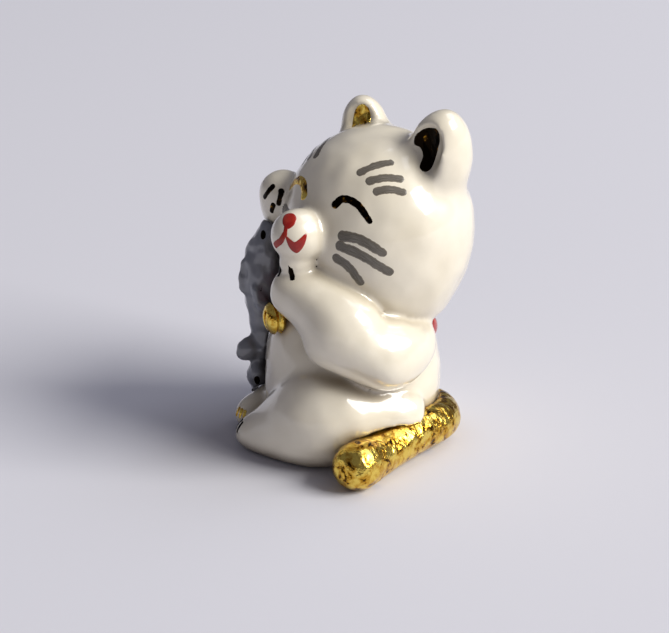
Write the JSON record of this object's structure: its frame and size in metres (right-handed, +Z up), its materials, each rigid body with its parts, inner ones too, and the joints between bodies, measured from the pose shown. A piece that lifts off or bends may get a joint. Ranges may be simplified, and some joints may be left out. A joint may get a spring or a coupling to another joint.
{
  "type": "beckoning cat figurine",
  "caption": "Miniature glazed porcelain sitting cat with a raised beckoning paw, a paw at its mouth, a hanging fish, a collar bell and a gilt tail.",
  "frame": {"origin": "bottom centre of the figurine's bounding box, on the surface it stands on", "axes": "+Z up, the cat faces -Y, its left side is +X"},
  "size_m": [0.025, 0.025, 0.0345],
  "materials": {
    "white_glaze": "glossy clear glaze over warm white porcelain",
    "fish_glaze": "glossy blue-grey glaze",
    "gold_lustre": "fired gold lustre, mirror-like and mottled",
    "red_enamel": "glossy red enamel",
    "grey_brushwork": "translucent grey brushwork under a soft gloss"
  },
  "bodies": {
    "root": {"torso": "white_glaze", "head": "white_glaze", "snout": "white_glaze", "chin": "white_glaze", "left_ear": "white_glaze", "right_ear": "white_glaze", "left_leg": "white_glaze", "right_leg": "white_glaze", "left_arm": "white_glaze", "right_arm": "white_glaze", "left_ear_lining": "gold_lustre", "right_ear_lining": "gold_lustre", "collar": "red_enamel", "bell": "gold_lustre", "tail": "gold_lustre", "fish_body": "fish_glaze", "fish_front_lobe": "fish_glaze", "fish_lower_lobe": "fish_glaze", "fish_back_fin": "fish_glaze", "fish_side_fin": "fish_glaze", "fish_dots": "gold_lustre", "left_eye_line": "gold_lustre", "right_eye_line": "gold_lustre", "forehead_stripes": "grey_brushwork", "left_whiskers": "grey_brushwork", "right_whiskers": "grey_brushwork", "nose": "red_enamel", "mouth": "red_enamel", "left_paw_claws": "gold_lustre", "right_paw_claws": "gold_lustre", "left_toe_claws": "gold_lustre", "right_toe_claws": "gold_lustre"}
  },
  "joints": []
}
